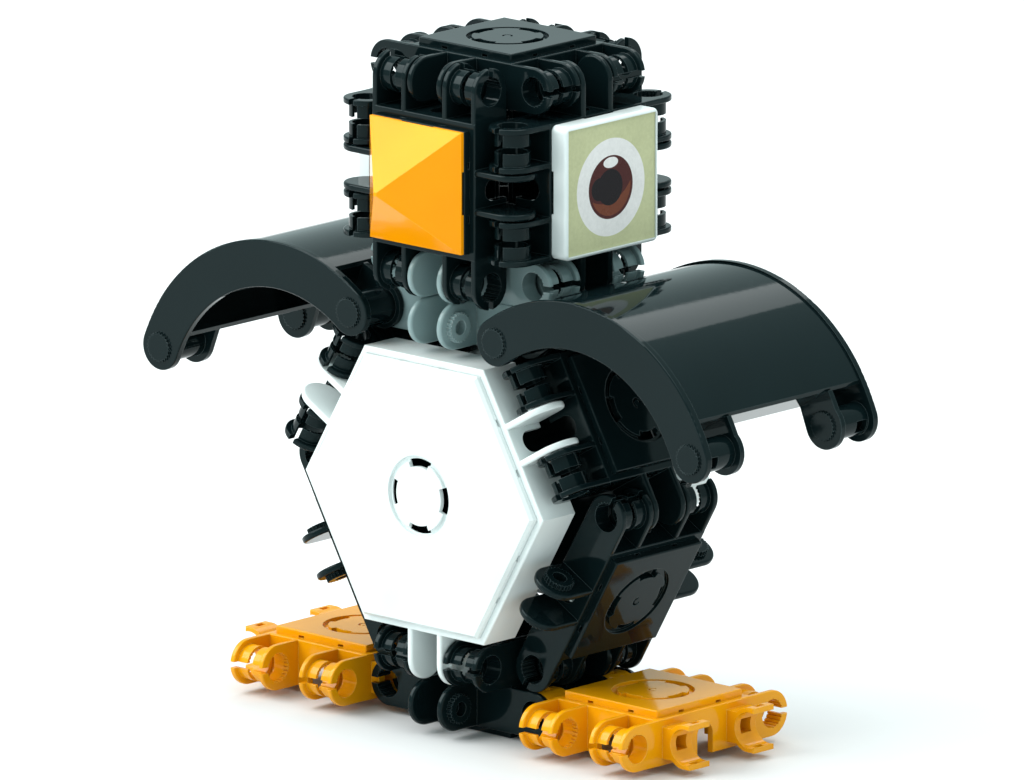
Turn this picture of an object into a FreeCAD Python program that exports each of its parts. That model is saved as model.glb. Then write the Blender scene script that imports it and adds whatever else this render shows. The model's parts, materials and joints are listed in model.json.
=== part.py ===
import FreeCAD, Part
import math
import os

# A penguin figure of click-together hinge blocks.  Millimetres.
# +X is the figure's left, -Y the way it faces, +Z up.
# The origin is the centre of the base block's bottom pad.

V = FreeCAD.Vector

# ---- block system -------------------------------------------------------
PITCH = 40.0                # hinge axis to hinge axis across a square block
HINGE = PITCH / 2           # block centre to hinge axis
THICK = 9.6                 # core thickness, and the step of stacked blocks
HALF = THICK / 2
CORE = 28.2                 # side of a square core
WALL = 1.4
PAST = 1.0                  # how far a cut runs past the face it opens
SINK = 0.2                  # how far a joined piece starts inside its neighbour
SAME = 1e-6                 # two places nearer than this are one place
LUG_R = 4.75                # rounded end of every flange and fin
LUG_EDGE = 0.3              # rounding of a flange's rim
FIN_EDGE = 0.5              # rounding of a fin's rim
PAD = 25.3                  # side of the square cap
PAD_RISE = 1.5
PAD_EDGE = 0.3              # rounding of a cap's top
CAP_GAP = 0.05              # between a cap and the walls it drops into
CAP_DEPTH = 1.8             # how far a cap's skirt reaches into the core
SKIRT = 1.2                 # thickness of that skirt
SHOULDER = 2.6              # width of the ledge the cap's skirt stands on
SHOULDER_Z = (1.6, HALF - CAP_DEPTH)
CORE_EDGE = 0.3             # rounding of a core's outer edges
ARCH_SLOT_HALF = 2.3        # round-topped slot in the middle of each wall
ARCH_SLOT_TOP = 1.7

# ---- knuckle side -------------------------------------------------------
INNER_FLANGE = (5.0, 6.2)   # spans are distances from the block's middle line
INNER_TUBE = (6.2, 8.85)
OUTER_TUBE = (10.25, 12.9)
OUTER_FLANGE = (12.9, 14.1)
TUBE_R = 3.65
BORE_R = 2.95
TOOTH_ROOT_R = 3.25
TOOTH_START_R = 2.6         # where the sides of two tooth grooves would meet
TEETH = 24                  # full circle; beyond the inner flange a bore has half of them
SLOT_HALF = 0.65            # half height of the spring slot

# ---- fin side -----------------------------------------------------------
FIN = (3.3, 4.7)
BOSS_END = 5.8
BOSS_R = 3.15
BOSS_ROOT_R = 2.72
BOSS_HOLE_R = 1.5
BOSS_FLOOR = 0.5            # of the fin left at the bottom of the boss's hole

# ---- hook side of a foot ------------------------------------------------
HOOK = (6.4, 12.7)
HOOK_R = 4.65
HOOK_NECK = 3.3             # half height of the neck that joins a hook to its wall
HOOK_BORE_R = 3.73
LIP_REACH = 1.3             # how far the lips pass the hinge axis
MOUTH_HALF = 3.45
HOOK_WINDOW = 1.5           # half side of the window in a hook's back
LIP_WINDOW = (-0.7, 0.6, 1.2)   # from and to along the lip, and half width

# ---- cap mark -----------------------------------------------------------
RING_OUT_R = 8.35
RING_IN_R = 7.2
MARK_OUT_R = 7.7
MARK_IN_R = 6.1
MARK_DEG = 44.0
DOT_OUT_R = 1.1
DOT_IN_R = 0.65
DOT_DEG = 250.0             # the dot is a small open ring
MARK_DEPTH = 0.7            # of the ring and dot; the arcs go right through
NICK_AT = 5.5               # dark nicks at the foot of a cap's sides
NICK_HALF = 0.75
NICK_TALL = 0.5
NICK_DEEP = 2.0

# ---- hexagon block ------------------------------------------------------
HEX_HINGE = PITCH * math.sqrt(3) / 2     # centre to hinge axis
HEX_INSET = 0.35            # how much further the hexagon's wall is from its hinges
HEX_CORE = HEX_HINGE - (HINGE - CORE / 2) - HEX_INSET
HEX_LIP = 1.44              # wall left round the hexagon's cover
HEX_CAP = HEX_CORE - HEX_LIP
HEX_ROOF = 1.0              # thickness of that cover
HEX_FIN_SIDES = (30.0, 150.0, 270.0)
HEX_BEVEL = 0.6
BACKING = 1.4               # thickness of the dark plate behind a hexagon's cover

# ---- layout -------------------------------------------------------------
BASE_Z = HALF + PAD_RISE
RING_BOTTOM_Z = BASE_Z + THICK
RING_Z = RING_BOTTOM_Z + HEX_HINGE
BODY_TOP_Z = RING_Z + HEX_HINGE
HEAD_BOTTOM_Z = BODY_TOP_Z + THICK
HEAD_Z = HEAD_BOTTOM_Z + HINGE
HEAD_TOP_Z = HEAD_Z + HINGE

# ---- beak and eyes ------------------------------------------------------
BEAK_SIDE = 25.0
BEAK_BAND = 0.8             # straight edge below the beak's slopes
BEAK_TALL = 11.8
BEAK_WALL = 1.5
BEAK_TIP = 0.8              # side of the blunt tip
NOTCH_HALF = 4.4
NOTCH_DEEP = 0.6
NOTCH_TALL = 0.5
EYE_SIDE = 27.4
EYE_TALL = 3.9
EYE_ROUND = 1.3
EYE_EDGE = 0.7              # rounding of the box's front edge
EYE_FACE = 25.9
EYE_SUNK = 0.35
EYE_PLATE = 0.6
EYE_CENTRE = (-0.15, -0.5)          # towards the beak, and down
EYE_WHITE_R = 10.0
EYE_IRIS_R = 6.5
EYE_PUPIL = (3.7, -0.2, 0.0)        # radius, across, up
EYE_SIDE_PUPIL = (2.35, -3.3, 0.0)
EYE_GLOW = (5.85, 0.0, 0.0)         # lighter crescent below the pupil
EYE_GLOW_CUT = (9.0, -1.5, 5.8)
EYE_SHINE = (2.15, 1.1, 0.0, 5.05)  # half width, half height, across, up

# ---- wing ---------------------------------------------------------------
WING_SPAN = 55.0            # hinge axis to outer lug axis
WING_RISE = 13.45           # arch height over that chord
WING_TILT = 16.3            # droop of the chord, degrees
WING_R = (WING_SPAN ** 2 / 4 + WING_RISE ** 2) / (2 * WING_RISE)
ARCH_HALF = 4.85
ARCH_Y = (24.0, 25.5)
ARCH_EDGE = 0.3             # rounding of an arch plate's outer rim
SHELL_OUT = ARCH_HALF - 0.4
SHELL_WALL = 1.3
SHELL_TRIM = (13.0, 9.5)    # degrees of arch left bare at the hinge and outer ends
SHELL_BEVEL = 0.6
END_WALL_DEG = 2.2          # thickness of the wall across each end of the shell
END_WALL_IN = 0.4           # how far it stops short of the arch's inner edge
ARM_LOWER = 0.5             # how far a lug's inner arm stays below the arch's rim
ARM_PAST_DEG = 1.0          # how far that arm runs into its lug
WING_TUBE = (15.6, ARCH_Y[0])
WING_FLANGE = (14.4, 15.6)
WING_TUBE_R = 3.4           # at the outer lug
WING_DRUM_R = 3.8           # at the hinge
WING_TUBE_BORE_R = 2.2
WING_STUB_R = 2.88
WING_STUB_END = 13.1
TUBE_WINDOW = (20.6, 23.6, 1.3)     # from and to along the tube, and half height
LUG_BOSS_RISE = 0.5         # low toothed disc on a lug's face, as wide as a fin's boss


def box(x0, x1, y0, y1, z0, z1):
    return Part.makeBox(x1 - x0, y1 - y0, z1 - z0, V(x0, y0, z0))


def slab(half, z0, z1):
    return box(-half, half, -half, half, z0, z1)


def rod(x, z, radius, y0, y1):
    """Cylinder along Y."""
    return Part.makeCylinder(radius, y1 - y0, V(x, y0, z), V(0, 1, 0))


def prism(points, direction):
    wire = Part.makePolygon(points + [points[0]])
    return Part.Face(wire).extrude(direction)


def fused(shapes):
    return shapes[0].multiFuse(shapes[1:]).removeSplitter()


def turned(shape, degrees, axis=V(0, 0, 1)):
    copy = shape.copy()
    copy.rotate(V(0, 0, 0), axis, degrees)
    return copy


def both(shapes):
    """Each shape and its mirror across the block's middle line."""
    mirrored = [s.mirror(V(0, 0, 0), V(0, 1, 0)) for s in shapes]
    return shapes + mirrored


def toothed(x, r_tip, r_root, y0, y1):
    """Star prism along Y, with TEETH points round it."""
    points = []
    for i in range(2 * TEETH):
        radius = r_tip if i % 2 else r_root
        angle = math.pi * i / TEETH
        points.append(V(x + radius * math.cos(angle), y0, radius * math.sin(angle)))
    return prism(points, V(0, y1 - y0, 0))


def rim_edges(shape, y_faces, beyond_x):
    """Edges lying wholly in a plane y = one of y_faces, past beyond_x."""
    found = []
    for edge in shape.Edges:
        ends = edge.Vertexes
        flat = any(all(abs(v.Y - y) < SAME for v in ends) for y in y_faces)
        if flat and any(v.X > beyond_x + SAME for v in ends):
            found.append(edge)
    return found


def level_edges(shape):
    """Edges whose two ends are at one height."""
    return [e for e in shape.Edges if abs(e.Vertexes[0].Z - e.Vertexes[-1].Z) < SAME]


def top_edges(shape, z):
    """Edges lying wholly at height z."""
    return [e for e in shape.Edges if all(abs(v.Z - z) < SAME for v in e.Vertexes)]


def arm(span, radius, root, rounding):
    """Plate from the core's wall to the hinge axis, rounded about it."""
    plate = box(root, HINGE, span[0], span[1], -radius, radius)
    plate = plate.fuse(rod(HINGE, 0, radius, span[0], span[1])).removeSplitter()
    return plate.makeFillet(rounding, rim_edges(plate, span, root))


def knuckles():
    """Additions and cuts of a knuckle side on +X, hinge line along Y."""
    root = CORE / 2 - WALL / 2
    add = [arm(span, LUG_R, root, LUG_EDGE) for span in (INNER_FLANGE, OUTER_FLANGE)]
    for span in (INNER_TUBE, OUTER_TUBE):
        add.append(rod(HINGE, 0, TUBE_R, span[0], span[1]))
    start, end = INNER_FLANGE[0] - PAST, OUTER_FLANGE[1] + PAST
    smooth = box(HINGE - LUG_R, HINGE, INNER_FLANGE[1], end, -LUG_R, LUG_R)
    cut = [
        rod(HINGE, 0, BORE_R, start, end),
        toothed(HINGE, TOOTH_ROOT_R, TOOTH_START_R, start, end).cut(smooth),
        box(HINGE, HINGE + 2 * LUG_R, start, end, -SLOT_HALF, SLOT_HALF),
    ]
    return both(add), both(cut)


def fins(root):
    """Additions and cuts of a fin side on +X, hinge line along Y."""
    add = [arm(FIN, LUG_R, root, FIN_EDGE)]
    add.append(toothed(HINGE, BOSS_R, BOSS_ROOT_R, FIN[1] - SINK, BOSS_END))
    cut = [rod(HINGE, 0, BOSS_HOLE_R, FIN[0] + BOSS_FLOOR, BOSS_END + PAST)]
    return both(add), both(cut)


def hooks():
    """Additions and cuts of a foot's hook side on +X."""
    root = CORE / 2 - WALL / 2
    block = box(root, HINGE + LIP_REACH, HOOK[0], HOOK[1], -HOOK_R, HOOK_R)
    block = block.makeFillet(LUG_EDGE, rim_edges(block, HOOK, root))
    middle = sum(HOOK) / 2
    w = HOOK_WINDOW
    lip_from, lip_to, lip_half = LIP_WINDOW
    start, end = HOOK[0] - PAST, HOOK[1] + PAST
    tall = HOOK_R + PAST
    cut = [
        rod(HINGE, 0, HOOK_BORE_R, start, end),
        box(HINGE, HINGE + 2 * HOOK_R, start, end, -MOUTH_HALF, MOUTH_HALF),
        box(CORE / 2 - 2 * WALL, HINGE, middle - w, middle + w, -w, w),
        box(HINGE + lip_from, HINGE + lip_to, middle - lip_half, middle + lip_half,
            -tall, tall),
    ]
    # round the back of the hook about the tube it holds
    back = box(CORE / 2, HINGE, start, end, -tall, tall)
    back = back.cut(rod(HINGE, 0, HOOK_R, start - PAST, end + PAST))
    neck = box(root, HINGE, start - PAST, end + PAST, -HOOK_NECK, HOOK_NECK)
    return both([block]), both(cut + [back.cut(neck)])


def square_core():
    core = slab(CORE / 2, -HALF, HALF)
    core = core.makeFillet(CORE_EDGE, level_edges(core))
    seat = slab(PAD / 2 + CAP_GAP, SHOULDER_Z[1], HALF + PAST)
    hole = slab(CORE / 2 - SHOULDER, 0, HALF)
    back = slab(PAD / 2 + CAP_GAP, -HALF - PAST, SHOULDER_Z[0])
    core = core.cut(seat).cut(hole).cut(back)
    slots = [turned(arch_slot(CORE / 2), 90 * i) for i in range(4)]
    return core.cut(Part.makeCompound(slots))


def arch_slot(side_at):
    """Round-topped slot, open at the back, through the wall at +X."""
    x0, x1 = side_at - 2 * WALL, side_at + PAST
    centre = ARCH_SLOT_TOP - ARCH_SLOT_HALF
    straight = box(x0, x1, -ARCH_SLOT_HALF, ARCH_SLOT_HALF, -HALF - PAST, centre)
    top = Part.makeCylinder(ARCH_SLOT_HALF, x1 - x0, V(x0, 0, centre), V(1, 0, 0))
    return straight.fuse(top)


def square_frame(x_side, y_side):
    """Frame with one kind of side on +-X and another on +-Y."""
    solid = [square_core()]
    holes = []
    for side, first in ((x_side, 0), (y_side, 90)):
        add, cut = side
        for angle in (first, first + 180):
            solid += [turned(s, angle) for s in add]
            holes += [turned(s, angle) for s in cut]
    return fused(solid).cut(Part.makeCompound(holes))


def part_ring(r_out, r_in, z0, tall, degrees):
    base, up = V(0, 0, z0), V(0, 0, 1)
    outer = Part.makeCylinder(r_out, tall, base, up, degrees)
    return outer.cut(Part.makeCylinder(r_in, tall, base, up, degrees))


def mark(top):
    """Engraved ring, and four short arcs cut through the cap."""
    z0, tall = top - MARK_DEPTH, MARK_DEPTH + PAST
    cuts = [part_ring(RING_OUT_R, RING_IN_R, z0, tall, 360)]
    for i in range(4):
        arc = part_ring(MARK_OUT_R, MARK_IN_R, top - 2 * WALL, 3 * WALL, MARK_DEG)
        cuts.append(turned(arc, 90 * i - MARK_DEG / 2))
    return cuts


def centre_dot(top):
    return part_ring(DOT_OUT_R, DOT_IN_R, top - MARK_DEPTH, MARK_DEPTH + PAST, DOT_DEG)


def nicks(side_at):
    """Two nicks at the foot of a cap's +X side."""
    x0 = side_at - NICK_DEEP
    return [
        box(x0, side_at + PAST, y - NICK_HALF, y + NICK_HALF, HALF, HALF + NICK_TALL)
        for y in (-NICK_AT, NICK_AT)
    ]


def square_cap():
    top = HALF + PAD_RISE
    foot = HALF - CAP_DEPTH
    body = slab(PAD / 2, foot, top)
    rim = [e for e in body.Edges if any(abs(v.Z - top) < SAME for v in e.Vertexes)]
    body = body.makeFillet(PAD_EDGE, rim)
    hollow = slab(PAD / 2 - SKIRT, foot - PAST, top - WALL)
    cuts = mark(top) + [centre_dot(top), hollow]
    for i in range(4):
        cuts += [turned(n, 90 * i) for n in nicks(PAD / 2)]
    return body.cut(Part.makeCompound(cuts))


def hexagon(apothem, z0, z1):
    """Hexagonal slab with sides facing 30, 90, 150... degrees."""
    r = apothem * 2 / math.sqrt(3)
    turn = [math.radians(60 * i) for i in range(6)]
    points = [V(r * math.cos(t), r * math.sin(t), z0) for t in turn]
    return prism(points, V(0, 0, z1 - z0))


def hex_frame():
    core = hexagon(HEX_CORE, -HALF, HALF)
    core = core.makeFillet(CORE_EDGE, level_edges(core))
    core = core.cut(hexagon(HEX_CAP + CAP_GAP, SHOULDER_Z[1], HALF + PAST))
    core = core.cut(hexagon(HEX_CORE - SHOULDER, 0, HALF))
    core = core.cut(hexagon(HEX_CAP + CAP_GAP, -HALF - PAST, SHOULDER_Z[0]))
    slots = [turned(arch_slot(HEX_CORE), angle) for angle in HEX_FIN_SIDES]
    core = core.cut(Part.makeCompound(slots))
    add, cut = fins(CORE / 2 - WALL / 2)
    reach = V(HEX_HINGE - HINGE, 0, 0)
    solid, holes = [core], []
    for angle in HEX_FIN_SIDES:
        for group, shapes in ((solid, add), (holes, cut)):
            for shape in shapes:
                moved = shape.copy()
                moved.translate(reach)
                group.append(turned(moved, angle))
    return fused(solid).cut(Part.makeCompound(holes))


def hex_cap():
    top = HALF + PAD_RISE
    foot = HALF - CAP_DEPTH
    body = hexagon(HEX_CAP, foot, top)
    body = body.makeChamfer(HEX_BEVEL, top_edges(body, top))
    cuts = mark(top) + [hexagon(HEX_CAP - SKIRT, foot - PAST, top - HEX_ROOF)]
    for i in range(6):
        cuts += [turned(n, 30 + 60 * i) for n in nicks(HEX_CAP)]
    return body.cut(Part.makeCompound(cuts))


def hex_backing():
    """Plate pressed up under a hexagon's ledge from the back."""
    return hexagon(HEX_CAP, SHOULDER_Z[0] - BACKING, SHOULDER_Z[0])


def pyramid(side, tip, z0, z1):
    squares = []
    for half, z in ((side / 2, z0), (tip / 2, z1)):
        corners = [V(-half, -half, z), V(half, -half, z), V(half, half, z), V(-half, half, z)]
        squares.append(Part.makePolygon(corners + [corners[0]]))
    return Part.makeLoft(squares, True, True)


def side_notches(half, z0, z1):
    """One shallow notch in the middle of each of four sides."""
    notch = box(half - NOTCH_DEEP, half + PAST, -NOTCH_HALF, NOTCH_HALF, z0, z1)
    return [turned(notch, 90 * i) for i in range(4)]


def beak():
    """Hollow pyramid that stands on a cap's face."""
    foot = HALF + PAD_RISE
    band_top = foot + BEAK_BAND
    body = slab(BEAK_SIDE / 2, foot, band_top)
    body = body.fuse(pyramid(BEAK_SIDE, BEAK_TIP, band_top, band_top + BEAK_TALL))
    inner = BEAK_SIDE - 2 * BEAK_WALL
    hollow = slab(inner / 2, foot - PAST, band_top)
    top = band_top + BEAK_TALL - 2 * BEAK_WALL
    hollow = hollow.fuse(pyramid(inner, BEAK_TIP, band_top, top))
    body = body.cut(hollow)
    notches = side_notches(BEAK_SIDE / 2, foot - PAST, foot + NOTCH_TALL)
    return body.cut(Part.makeCompound(notches)).removeSplitter()


def eye_box():
    """Shallow box pushed over a cap, with a sunk front."""
    top = HALF + EYE_TALL
    body = slab(EYE_SIDE / 2, HALF, top)
    corners = [e for e in body.Edges if abs(e.Vertexes[0].Z - e.Vertexes[-1].Z) > SAME]
    body = body.makeFillet(EYE_ROUND, corners)
    body = body.makeFillet(EYE_EDGE, top_edges(body, top))
    pocket = slab(PAD / 2 + CAP_GAP, HALF - PAST, HALF + PAD_RISE)
    sunk = slab(EYE_FACE / 2, top - EYE_SUNK - EYE_PLATE, top + PAST)
    notches = side_notches(EYE_SIDE / 2, HALF - PAST, HALF + NOTCH_TALL)
    return body.cut(pocket).cut(sunk).cut(Part.makeCompound(notches))


def eye_parts():
    """Flush inlays of the eye, one for each colour."""
    z1 = HALF + EYE_TALL - EYE_SUNK
    z0 = z1 - EYE_PLATE

    def disc(radius, across=0.0, up=0.0):
        at = V(EYE_CENTRE[0] + across, EYE_CENTRE[1] + up, z0)
        return Part.makeCylinder(radius, EYE_PLATE, at)

    half_wide, half_tall, across, up = EYE_SHINE
    at = V(EYE_CENTRE[0] + across, EYE_CENTRE[1] + up, z0)
    oval = Part.Wire(Part.Ellipse(at, half_wide, half_tall).toShape())
    shine = Part.Face(oval).extrude(V(0, 0, EYE_PLATE))
    pupil = disc(*EYE_PUPIL).fuse(disc(*EYE_SIDE_PUPIL)).removeSplitter()
    glow = disc(*EYE_GLOW).cut(disc(*EYE_GLOW_CUT)).cut(pupil)
    iris = disc(EYE_IRIS_R)
    white = disc(EYE_WHITE_R)
    face = slab(EYE_FACE / 2 - CAP_GAP, z0, z1)
    return {
        "face": face.cut(white),
        "white": white.cut(iris),
        "iris": iris.cut(pupil).cut(glow).cut(shine),
        "glow": glow,
        "pupil": pupil,
        "shine": shine,
    }


def arch_sector(r_in, r_out, from_deg, to_deg, y0, y1):
    """Part of a ring about the arch's centre, angles measured from its crown."""
    cx, cz = WING_SPAN / 2, WING_RISE - WING_R
    ring = rod(cx, cz, r_out, y0, y1).cut(rod(cx, cz, r_in, y0 - PAST, y1 + PAST))
    far = 3 * r_out
    corners = [V(cx, y0, cz)]
    for degrees in (from_deg, to_deg):
        a = math.radians(degrees)
        corners.append(V(cx + far * math.sin(a), y0, cz + far * math.cos(a)))
    return ring.common(prism(corners, V(0, y1 - y0, 0)))


ARCH_DEG = math.degrees(math.asin(WING_SPAN / 2 / WING_R))
SHELL_FROM = SHELL_TRIM[0] - ARCH_DEG      # degrees from the crown, hinge end first
SHELL_TO = ARCH_DEG - SHELL_TRIM[1]


def lug_boss(x, y_face, out):
    """Low toothed disc on a lug's face; out is +1 or -1 along Y."""
    y0, y1 = sorted((y_face - out * SINK, y_face + out * LUG_BOSS_RISE))
    return toothed(x, BOSS_R, BOSS_ROOT_R, y0, y1)


def arch_plate():
    """Curved side plate with a lug at each end, on the +Y side.

    The lug at x = 0 ends in the stub the wing turns on.
    """
    y0, y1 = ARCH_Y
    r_in, r_out = WING_R - ARCH_HALF, WING_R + ARCH_HALF
    plate = arch_sector(r_in, r_out, -ARCH_DEG, ARCH_DEG, y0, y1)
    ends = [rod(x, 0, ARCH_HALF, y0, y1) for x in (0.0, WING_SPAN)]
    plate = fused([plate] + ends)
    outer = [e for e in plate.Edges if all(abs(v.Y - y1) < SAME for v in e.Vertexes)]
    solid = [plate.makeFillet(ARCH_EDGE, outer)]
    holes = []
    near, far = WING_FLANGE
    for x, turn, tube_r, root in ((0.0, -1, WING_DRUM_R, SHELL_FROM),
                                  (WING_SPAN, 1, WING_TUBE_R, SHELL_TO)):
        from_deg, to_deg = sorted((root, turn * (ARCH_DEG + ARM_PAST_DEG)))
        strip = arch_sector(r_in, r_out - ARM_LOWER, from_deg, to_deg, near, far)
        straight = box(x - ARCH_HALF, x + ARCH_HALF, near, far, 0, WING_RISE)
        straight.rotate(V(x, 0, 0), V(0, 1, 0), turn * (ARCH_DEG - 90))
        solid.append(strip.common(straight))
        solid.append(rod(x, 0, ARCH_HALF, near, far))
        solid.append(rod(x, 0, tube_r, *WING_TUBE))
        solid.append(lug_boss(x, y1, 1))
    solid.append(rod(0, 0, WING_STUB_R, WING_STUB_END, near + SINK))
    holes.append(rod(0, 0, BOSS_HOLE_R, WING_STUB_END - PAST, y0))
    solid.append(lug_boss(WING_SPAN, near, -1))
    holes.append(rod(WING_SPAN, 0, WING_TUBE_BORE_R, far + WALL, y0))
    w0, w1, half = TUBE_WINDOW
    holes.append(box(WING_SPAN, WING_SPAN + 2 * WING_TUBE_R, w0, w1, -half, half))
    return fused(solid).cut(Part.makeCompound(holes))


def wing_shell():
    """Curved panel between the two arch plates, with a wall across each end."""
    r_out = WING_R + SHELL_OUT
    half_y = ARCH_Y[0]
    r_in = r_out - SHELL_WALL
    panel = arch_sector(r_in, r_out, SHELL_FROM, SHELL_TO, -half_y, half_y)
    ends = []
    for edge in panel.Edges:
        first, last = edge.Vertexes[0], edge.Vertexes[-1]
        radius = math.hypot(first.X - WING_SPAN / 2, first.Z - WING_RISE + WING_R)
        if abs(first.Y - last.Y) > half_y and abs(radius - r_out) < SAME:
            ends.append(edge)
    panel = panel.makeChamfer(SHELL_BEVEL, ends)
    low, high = WING_R - ARCH_HALF + END_WALL_IN, r_in + SINK
    walls = [arch_sector(low, high, from_deg, from_deg + END_WALL_DEG, -half_y, half_y)
             for from_deg in (SHELL_FROM, SHELL_TO - END_WALL_DEG)]
    return fused([panel] + walls)


def placed(shape, centre, normal, female):
    """Put a block's +Z on normal and its +X on female, at centre."""
    n, x = V(*normal), V(*female)
    y = n.cross(x)
    matrix = FreeCAD.Matrix(
        x.x, y.x, n.x, centre[0],
        x.y, y.y, n.y, centre[1],
        x.z, y.z, n.z, centre[2],
        0, 0, 0, 1)
    copy = shape.copy()
    copy.Placement = FreeCAD.Placement(matrix)
    return copy


X, Y, Z = (1, 0, 0), (0, 1, 0), (0, 0, 1)
MINUS_X, MINUS_Y, MINUS_Z = (-1, 0, 0), (0, -1, 0), (0, 0, -1)


def ring_block(degrees, female_along_y):
    a = math.radians(degrees)
    out = (math.cos(a), 0.0, math.sin(a))
    centre = (HEX_HINGE * out[0], 0.0, RING_Z + HEX_HINGE * out[2])
    along = Y if female_along_y else (-math.sin(a), 0.0, math.cos(a))
    return centre, out, along


# name: centre, way the cap faces, way the knuckle sides face
BLOCKS = {
    "base": ((0, 0, BASE_Z), MINUS_Z, X),
    "ring_bottom": ring_block(270, True),
    "ring_lower_left": ring_block(-30, False),
    "ring_lower_right": ring_block(210, False),
    "ring_upper_left": ring_block(30, True),
    "ring_upper_right": ring_block(150, True),
    "body_top": ((0, 0, BODY_TOP_Z), Z, X),
    "head_bottom": ((0, 0, HEAD_BOTTOM_Z), Z, X),
    "head_front": ((0, -HINGE, HEAD_Z), MINUS_Y, Z),
    "head_back": ((0, HINGE, HEAD_Z), Y, Z),
    "head_left": ((HINGE, 0, HEAD_Z), X, Y),
    "head_right": ((-HINGE, 0, HEAD_Z), MINUS_X, Y),
    "head_top": ((0, 0, HEAD_TOP_Z), Z, X),
}
FEET = {"foot_left": (PITCH, 0, BASE_Z), "foot_right": (-PITCH, 0, BASE_Z)}
HEXAGONS = {"belly": (-HINGE, MINUS_Y), "back": (HINGE, Y)}
EYES = {"eye_left": ("head_left", 1), "eye_right": ("head_right", -1)}
WINGS = {"wing_left": 1, "wing_right": -1}


def build():
    parts = {}
    fin_side = fins(CORE / 2 - WALL / 2)
    frame = square_frame(knuckles(), fin_side)
    foot = square_frame(knuckles(), hooks())
    cap = square_cap()
    for name, where in BLOCKS.items():
        parts[name + "_frame"] = placed(frame, *where)
        parts[name + "_cap"] = placed(cap, *where)
    for name, centre in FEET.items():
        parts[name + "_frame"] = placed(foot, centre, Z, Y)
        parts[name + "_cap"] = placed(cap, centre, Z, Y)

    plate, cover, backing = hex_frame(), hex_cap(), hex_backing()
    for name, (y, normal) in HEXAGONS.items():
        centre = (0, y, RING_Z)
        # the hexagon's own +Y must come out pointing up
        across = X if normal == MINUS_Y else MINUS_X
        parts[name + "_frame"] = placed(plate, centre, normal, across)
        parts[name + "_cap"] = placed(cover, centre, normal, across)
        parts[name + "_backing"] = placed(backing, centre, normal, across)

    parts["beak"] = placed(beak(), *BLOCKS["head_front"])

    inlays = eye_parts()
    for name, (block, side) in EYES.items():
        centre, normal, _ = BLOCKS[block]
        parts[name + "_box"] = placed(eye_box(), centre, normal, Y)
        for piece, shape in inlays.items():
            # local +Y up; +X runs towards the back on the left, so mirror the right
            if side > 0:
                drawn = shape
            else:
                drawn = shape.mirror(V(0, 0, 0), V(1, 0, 0))
            back = (0, side, 0)
            parts[name + "_" + piece] = placed(drawn, centre, normal, back)

    front = arch_plate()
    shell = wing_shell()
    mirror = front.mirror(V(0, 0, 0), V(0, 1, 0))
    for name, side in WINGS.items():
        for piece, shape in (("arch_back", front), ("arch_front", mirror), ("shell", shell)):
            wing = turned(shape, WING_TILT, V(0, 1, 0))
            if side < 0:
                # half a turn swaps front and back, so the other plate is used
                other = {"arch_back": mirror, "arch_front": front, "shell": shell}[piece]
                wing = turned(turned(other, WING_TILT, V(0, 1, 0)), 180)
            wing.translate(V(side * HINGE, 0, BODY_TOP_Z))
            parts[name + "_" + piece] = wing
    return parts


os.makedirs("parts", exist_ok=True)
for stale in os.listdir("parts"):
    os.remove(os.path.join("parts", stale))
for part_name, part_shape in build().items():
    if not part_shape.isValid():
        raise ValueError(part_name + " is not valid")
    if len(part_shape.Solids) != 1:
        raise ValueError(part_name + " has %d solids" % len(part_shape.Solids))
    part_shape.exportStep(os.path.join("parts", part_name + ".step"))
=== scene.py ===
import json
import math

import bpy
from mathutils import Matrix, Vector

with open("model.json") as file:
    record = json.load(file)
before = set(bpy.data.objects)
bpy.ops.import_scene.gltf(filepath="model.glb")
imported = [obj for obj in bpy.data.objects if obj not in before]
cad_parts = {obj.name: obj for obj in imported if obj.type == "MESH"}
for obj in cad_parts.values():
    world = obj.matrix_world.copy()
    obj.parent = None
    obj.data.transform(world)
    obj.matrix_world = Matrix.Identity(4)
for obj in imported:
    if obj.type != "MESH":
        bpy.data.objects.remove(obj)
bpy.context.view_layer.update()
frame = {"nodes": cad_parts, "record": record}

MM = 0.001

# ---- camera -------------------------------------------------------------
AZIMUTH = 42.9
ELEVATION = 13.2
PIXELS_WIDE = 1024
PIXELS_PER_MM = 4.96
DISTANCE = 4.0              # metres: the view is nearly parallel
SENSOR = 36.0
CLIP = (0.1, 40.0)
AIM_HEIGHT = 70.0           # mm, on the figure's axis
AIM_RIGHT = 0.9
AIM_DOWN = 1.95


def make_camera():
    """Long lens from the photograph's angle, aimed near the middle of the body."""
    a, e = math.radians(AZIMUTH), math.radians(ELEVATION)
    back = Vector((math.sin(a) * math.cos(e), -math.cos(a) * math.cos(e), math.sin(e)))
    right = Vector((math.cos(a), math.sin(a), 0.0))
    up = back.cross(right)
    target = (Vector((0, 0, AIM_HEIGHT)) + right * AIM_RIGHT - up * AIM_DOWN) * MM
    data = bpy.data.cameras.new("camera")
    data.sensor_width = SENSOR
    data.lens = SENSOR * DISTANCE / (PIXELS_WIDE / PIXELS_PER_MM * MM)
    data.clip_start, data.clip_end = CLIP
    camera = bpy.data.objects.new("camera", data)
    camera.location = target + back * DISTANCE
    camera.rotation_mode = "QUATERNION"
    camera.rotation_quaternion = (-back).to_track_quat("-Z", "Y")
    bpy.context.scene.collection.objects.link(camera)
    bpy.context.scene.camera = camera


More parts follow.
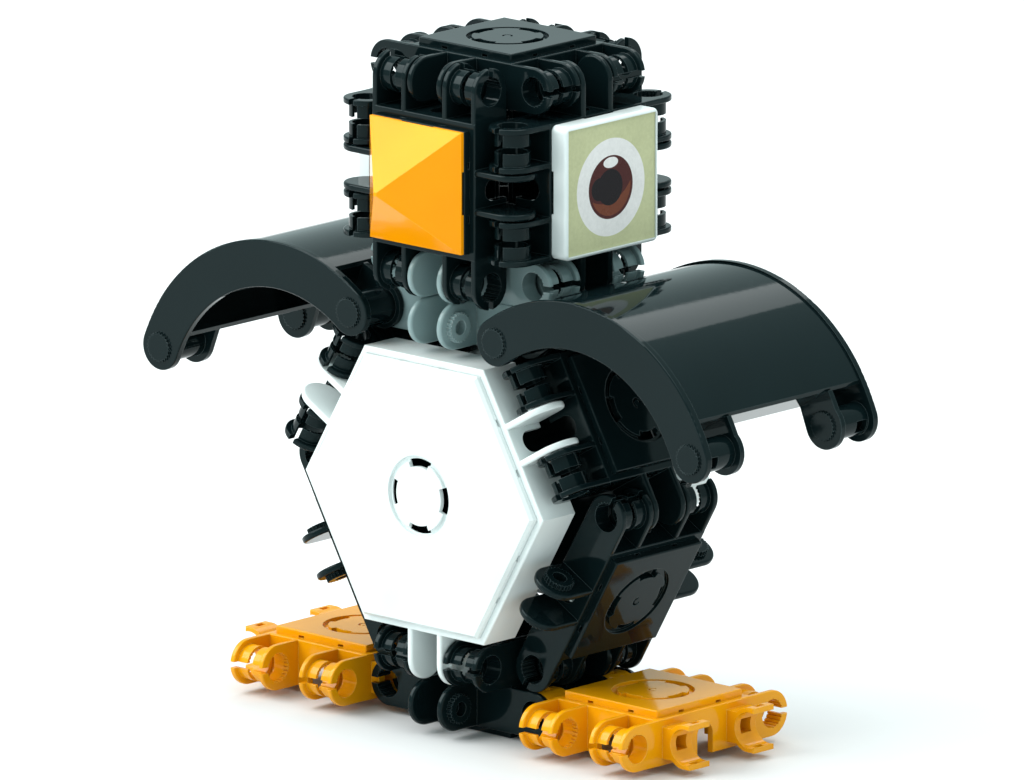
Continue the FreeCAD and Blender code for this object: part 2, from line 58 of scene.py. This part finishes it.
# ---- materials ----------------------------------------------------------
class Nodes:
    """Short calls for building one material's node tree."""

    def __init__(self, name):
        self.material = bpy.data.materials.new(name)
        self.material.use_nodes = True
        self.tree = self.material.node_tree
        self.shader = self.tree.nodes["Principled BSDF"]
        coordinates = self.add("ShaderNodeTexCoord")
        self.place = coordinates.outputs["Object"]

    def add(self, kind, **settings):
        node = self.tree.nodes.new(kind)
        for key, value in settings.items():
            setattr(node, key, value)
        return node

    def link(self, source, target):
        self.tree.links.new(source, target)

    def noise(self, scale, detail=3.0, roughness=0.5, stretch=None):
        """Noise in the object's own place; scale is in cells per metre."""
        node = self.add("ShaderNodeTexNoise")
        node.inputs["Scale"].default_value = scale
        node.inputs["Detail"].default_value = detail
        node.inputs["Roughness"].default_value = roughness
        if stretch is None:
            self.link(self.place, node.inputs["Vector"])
        else:
            mapping = self.add("ShaderNodeMapping")
            mapping.inputs["Scale"].default_value = stretch
            self.link(self.place, mapping.inputs["Vector"])
            self.link(mapping.outputs["Vector"], node.inputs["Vector"])
        return node.outputs["Fac"]

    def span(self, value, low, high, from_low=0.3, from_high=0.7):
        """Value, mapped from from_low..from_high onto low..high."""
        node = self.add("ShaderNodeMapRange")
        node.inputs["From Min"].default_value = from_low
        node.inputs["From Max"].default_value = from_high
        node.inputs["To Min"].default_value = low
        node.inputs["To Max"].default_value = high
        self.link(value, node.inputs["Value"])
        return node.outputs["Result"]

    def blend(self, factor, first, second):
        """Mix of two colours, each a tuple or another node's output."""
        node = self.add("ShaderNodeMix", data_type="RGBA")
        self.link(factor, node.inputs["Factor"])
        for socket, value in (("A", first), ("B", second)):
            target = [s for s in node.inputs if s.name == socket and s.type == "RGBA"][0]
            if isinstance(value, tuple):
                target.default_value = (*value, 1.0)
            else:
                self.link(value, target)
        return [s for s in node.outputs if s.type == "RGBA"][0]

    def math(self, operation, first, second):
        node = self.add("ShaderNodeMath", operation=operation)
        for socket, value in zip(node.inputs, (first, second)):
            if isinstance(value, (int, float)):
                socket.default_value = value
            else:
                self.link(value, socket)
        return node.outputs["Value"]

    def bump(self, height, distance, normal=None):
        """Normal bumped by height, which stands for distance metres."""
        node = self.add("ShaderNodeBump")
        node.inputs["Strength"].default_value = 1.0
        node.inputs["Distance"].default_value = distance
        self.link(height, node.inputs["Height"])
        if normal is not None:
            self.link(normal, node.inputs["Normal"])
        return node.outputs["Normal"]

    def shades(self, factor, colour, darker, lighter):
        """The colour times darker where the factor is 0, and times lighter where it is 1."""
        deep = tuple(c * darker for c in colour)
        light = tuple(min(1.0, c * lighter) for c in colour)
        return self.blend(factor, deep, light)


# noise scales are cells per metre: 95 makes patches about 10 mm across
CLOUDS = 38.0               # drift of the colour
DRIFT = (0.9, 1.1)          # how far it goes
WAVES = 55.0                # flow marks of the moulding
PATCHES = 95.0              # where edges are rubbed and lightened (wear and painted highlight) more or less
PATCH_RANGE = (0.42, 0.66)  # of the noise, from least to most rubbed and lightened
SCUFFS = 240.0
SCUFF_STRETCH = (1.0, 1.0, 9.0)
SCUFF_RANGE = (0.55, 0.78)
FINE = 620.0                # texture of the tool's surface
FINE_RANGE = (0.35, 0.65)
GRAIN = 0.006 * MM          # height of that texture
EDGE_ROUND = 0.18 * MM      # how far edges look rounded
EDGE_SAMPLES = 4
EDGE_SEEN = (0.8, 0.995)    # agreement of true and softened normal: edge, flat face
RUB_AND_HIGHLIGHT = (0.35, 0.9)           # least and most rubbing and painted edge highlight of an edge
ROUGHNESS_DRIFT = (0.75, 1.35)
SCUFF_GLOSS = 0.07          # what the scuffs add to the roughness
RUB_GLOSS = 0.12            # what the rubbing adds to it


def moulded(name, colour, worn_and_highlight, roughness, specular, flow, tint=(1.0, 1.0, 1.0)):
    """Moulded plastic: soft edges, faint flow marks, fine scuffs and lightened edges, partly
    rubbed wear and partly a painted edge highlight.
    """
    n = Nodes(name)
    geometry = n.add("ShaderNodeNewGeometry")
    soft = n.add("ShaderNodeBevel", samples=EDGE_SAMPLES)
    soft.inputs["Radius"].default_value = EDGE_ROUND

    # where the softened normal leaves the face's own, there is an edge
    turn = n.add("ShaderNodeVectorMath", operation="DOT_PRODUCT")
    n.link(soft.outputs["Normal"], turn.inputs[0])
    n.link(geometry.outputs["Normal"], turn.inputs[1])
    edge = n.span(turn.outputs["Value"], 1.0, 0.0, *EDGE_SEEN)

    patches = n.noise(PATCHES, detail=4.0, roughness=0.6)
    fine = n.noise(FINE, detail=5.0, roughness=0.65)
    # edges lightened towards the rubbed colour: partly real wear, partly a painted edge
    # highlight
    rub_and_highlight = n.math("MULTIPLY", edge, n.span(patches, *RUB_AND_HIGHLIGHT, *PATCH_RANGE))
    body = n.shades(n.span(n.noise(CLOUDS, detail=2.0), 0.0, 1.0), colour, *DRIFT)
    n.link(n.blend(rub_and_highlight, body, worn_and_highlight), n.shader.inputs["Base Color"])

    scuffs = n.noise(SCUFFS, detail=6.0, roughness=0.7, stretch=SCUFF_STRETCH)
    least, most = (roughness * drift for drift in ROUGHNESS_DRIFT)
    gloss = n.span(fine, least, most, *FINE_RANGE)
    gloss = n.math("ADD", gloss, n.span(scuffs, 0.0, SCUFF_GLOSS, *SCUFF_RANGE))
    gloss = n.math("ADD", gloss, n.math("MULTIPLY", rub_and_highlight, RUB_GLOSS))
    n.link(gloss, n.shader.inputs["Roughness"])

    waves = n.noise(WAVES, detail=1.5, roughness=0.4)
    wavy = n.bump(waves, flow, soft.outputs["Normal"])
    n.link(n.bump(fine, GRAIN, wavy), n.shader.inputs["Normal"])
    n.shader.inputs["Specular IOR Level"].default_value = specular
    n.shader.inputs["Specular Tint"].default_value = (*tint, 1.0)
    return n.material


INK_DOTS = 1500.0
INK_CLOUDS = 130.0
INK_DRIFT = (0.93, 1.06)
INK_HEIGHT = 0.003 * MM
INK_ROUGHNESS = (0.238, 0.336)
INK_SPECULAR = 0.12


def printed(name, colour):
    """Printed ink on the eye: slightly uneven colour, fine dot grain, satin face."""
    n = Nodes(name)
    dots = n.noise(INK_DOTS, detail=2.0)
    cloud = n.noise(INK_CLOUDS)
    mixed = n.math("MULTIPLY", n.math("ADD", dots, cloud), 0.5)
    ink = n.shades(n.span(mixed, 0.0, 1.0, *FINE_RANGE), colour, *INK_DRIFT)
    n.link(ink, n.shader.inputs["Base Color"])
    n.link(n.span(cloud, *INK_ROUGHNESS), n.shader.inputs["Roughness"])
    n.link(n.bump(dots, INK_HEIGHT), n.shader.inputs["Normal"])
    n.shader.inputs["Specular IOR Level"].default_value = INK_SPECULAR
    return n.material


# colour, colour of the edges (partly rubbed wear, partly painted edge highlight), roughness,
# specular, height of the flow marks, and for the black the tint of its reflections
MOULDED = {
    "black_plastic": ((0.003, 0.0078, 0.0088), (0.09, 0.125, 0.13), 0.06, 0.14,
                      0.02 * MM, (0.8, 1.0, 1.0)),
    "grey_plastic": ((0.215, 0.30, 0.305), (0.6, 0.7, 0.7), 0.16, 0.3, 0.05 * MM),
    "white_plastic": ((0.73, 0.79, 0.785), (0.85, 0.9, 0.9), 0.14, 0.4, 0.05 * MM),
    "orange_plastic": ((0.80, 0.325, 0.002), (1.0, 0.66, 0.1), 0.12, 0.25, 0.04 * MM),
    "amber_plastic": ((1.0, 0.32, 0.001), (1.0, 0.6, 0.1), 0.08, 0.12, 0.02 * MM),
}
PRINTED = {
    "eye_olive": (0.50, 0.51, 0.30),
    "eye_white": (0.74, 0.72, 0.71),
    "eye_brown": (0.062, 0.012, 0.011),
    "eye_glow": (0.155, 0.04, 0.018),
    "eye_dark": (0.006, 0.004, 0.006),
}


def paint():
    """Give every CAD piece the finish of its material slot."""
    finishes = {name: moulded(name, *values) for name, values in MOULDED.items()}
    for name, colour in PRINTED.items():
        finishes[name] = printed(name, colour)
    for entry in frame["record"]["subparts"]:
        slots = frame["nodes"][entry["node"]].data.materials
        finish = finishes[entry["material_slot"]]
        if len(slots) == 0:
            slots.append(finish)
        for i in range(len(slots)):
            slots[i] = finish


# ---- studio -------------------------------------------------------------
SKY = (0.80, 1.0, 1.0)
SKY_STRENGTH = 0.78
FLOOR_SIZE = 12.0
FLOOR = ((0.66, 0.66, 0.66), (0.68, 0.68, 0.68))
FLOOR_CLOUDS = 25.0
FLOOR_ROUGHNESS = (0.75, 0.85)
FLOOR_SPECULAR = 0.1
LIT_POINT = (0.0, 0.0, 0.07)        # the middle of the figure

# place in metres, width and depth, watts
LIGHTS = {
    "key": ((-0.9, -1.0, 1.3), (1.5, 1.5), 36.0),
    "top": ((0.1, 0.2, 1.6), (1.8, 1.4), 25.0),
    "side": ((1.6, -0.5, 0.5), (0.8, 0.8), 1.5),
    "rear": ((-0.7, 1.2, 1.5), (1.0, 0.8), 5.0),
}


def area_light(name, place, size, power):
    data = bpy.data.lights.new(name, "AREA")
    data.shape = "RECTANGLE"
    data.size, data.size_y = size
    data.energy = power
    light = bpy.data.objects.new(name, data)
    light.location = place
    direction = Vector(LIT_POINT) - Vector(place)
    light.rotation_mode = "QUATERNION"
    light.rotation_quaternion = direction.to_track_quat("-Z", "Y")
    bpy.context.scene.collection.objects.link(light)


def floor_material():
    n = Nodes("floor")
    clouds = n.noise(FLOOR_CLOUDS, detail=4.0)
    n.link(n.blend(n.span(clouds, 0.0, 1.0), *FLOOR), n.shader.inputs["Base Color"])
    n.link(n.span(clouds, *FLOOR_ROUGHNESS), n.shader.inputs["Roughness"])
    n.shader.inputs["Specular IOR Level"].default_value = FLOOR_SPECULAR
    return n.material


def make_studio():
    scene = bpy.context.scene
    scene.view_settings.view_transform = "Standard"
    world = bpy.data.worlds.new("studio")
    world.use_nodes = True
    background = world.node_tree.nodes["Background"]
    background.inputs["Color"].default_value = (*SKY, 1.0)
    background.inputs["Strength"].default_value = SKY_STRENGTH
    scene.world = world

    bpy.ops.mesh.primitive_plane_add(size=FLOOR_SIZE, location=(0, 0, 0))
    floor = bpy.context.object
    floor.name = "floor"
    floor.data.materials.append(floor_material())

    for name, (place, size, power) in LIGHTS.items():
        area_light(name, place, size, power)


make_camera()
paint()
make_studio()
